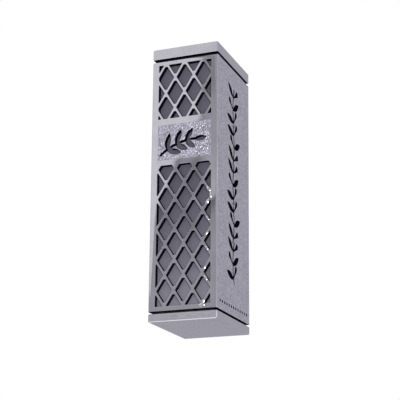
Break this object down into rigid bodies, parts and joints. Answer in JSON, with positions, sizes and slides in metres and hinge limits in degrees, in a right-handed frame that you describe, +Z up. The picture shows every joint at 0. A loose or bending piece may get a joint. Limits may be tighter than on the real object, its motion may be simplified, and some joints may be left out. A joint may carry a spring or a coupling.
{
  "type": "mezuzah case",
  "caption": "Upright metal mezuzah case with pierced lattice front, holding a rolled parchment scroll; it fixes to a door post with a wall plate and opens at the bottom.",
  "frame": {"origin": "centre of the back face, where the wall plate lies on the door post, at mid-height", "axes": "+Z up along the case, +Y into the door post, -Y is the lattice front, +X to the viewer's right"},
  "size_m": [0.025, 0.0326, 0.1],
  "materials": {
    "case_metal": "satin, fine grain, polished bevels",
    "stippled_metal": "coarse punched stipple",
    "side_metal": "matte, bead-blasted",
    "cap_metal": "brushed",
    "plate_metal": "plain milled",
    "dark_core": "dark anodised, faint brush lines",
    "screw_steel": "turned",
    "magnet": "nickel plated",
    "gasket_rubber": "matte black",
    "clear_tube": "clear acrylic",
    "stopper_plastic": "milky",
    "parchment": "matte, mottled",
    "plug_plastic": "moulded black",
    "pad_foam": "open-cell foam"
  },
  "bodies": {
    "wall_plate": {"wall_plate": "plate_metal", "plate_magnets": "magnet", "locating_pins": "screw_steel"},
    "case": {"inner_core": "dark_core", "face_plate": "case_metal", "upper_lattice": "case_metal", "lower_lattice": "case_metal", "emblem_plaque": "stippled_metal", "side_panel_left": "side_metal", "side_panel_right": "side_metal", "case_magnets": "magnet", "top_gasket": "gasket_rubber", "top_cap": "cap_metal", "top_cap_screws": "screw_steel"},
    "scroll": {"scroll_tube": "clear_tube", "tube_stoppers": "stopper_plastic", "parchment_scroll": "parchment"},
    "bottom_cap": {"bottom_cap": "cap_metal", "bottom_gasket": "gasket_rubber", "bottom_plug": "plug_plastic", "plug_oring": "gasket_rubber", "plug_screw": "screw_steel", "cushion_pad": "pad_foam"}
  },
  "joints": [
    {"name": "case_release", "type": "slide", "parent": "wall_plate", "child": "case", "axis": [0, -1, 0], "range_m": [0, 0.02]},
    {"name": "scroll_draw", "type": "slide", "parent": "case", "child": "scroll", "axis": [0, 0, -1], "range_m": [0, 0.095]},
    {"name": "cap_pull", "type": "slide", "parent": "scroll", "child": "bottom_cap", "axis": [0, 0, -1], "range_m": [0, 0.015]}
  ]
}
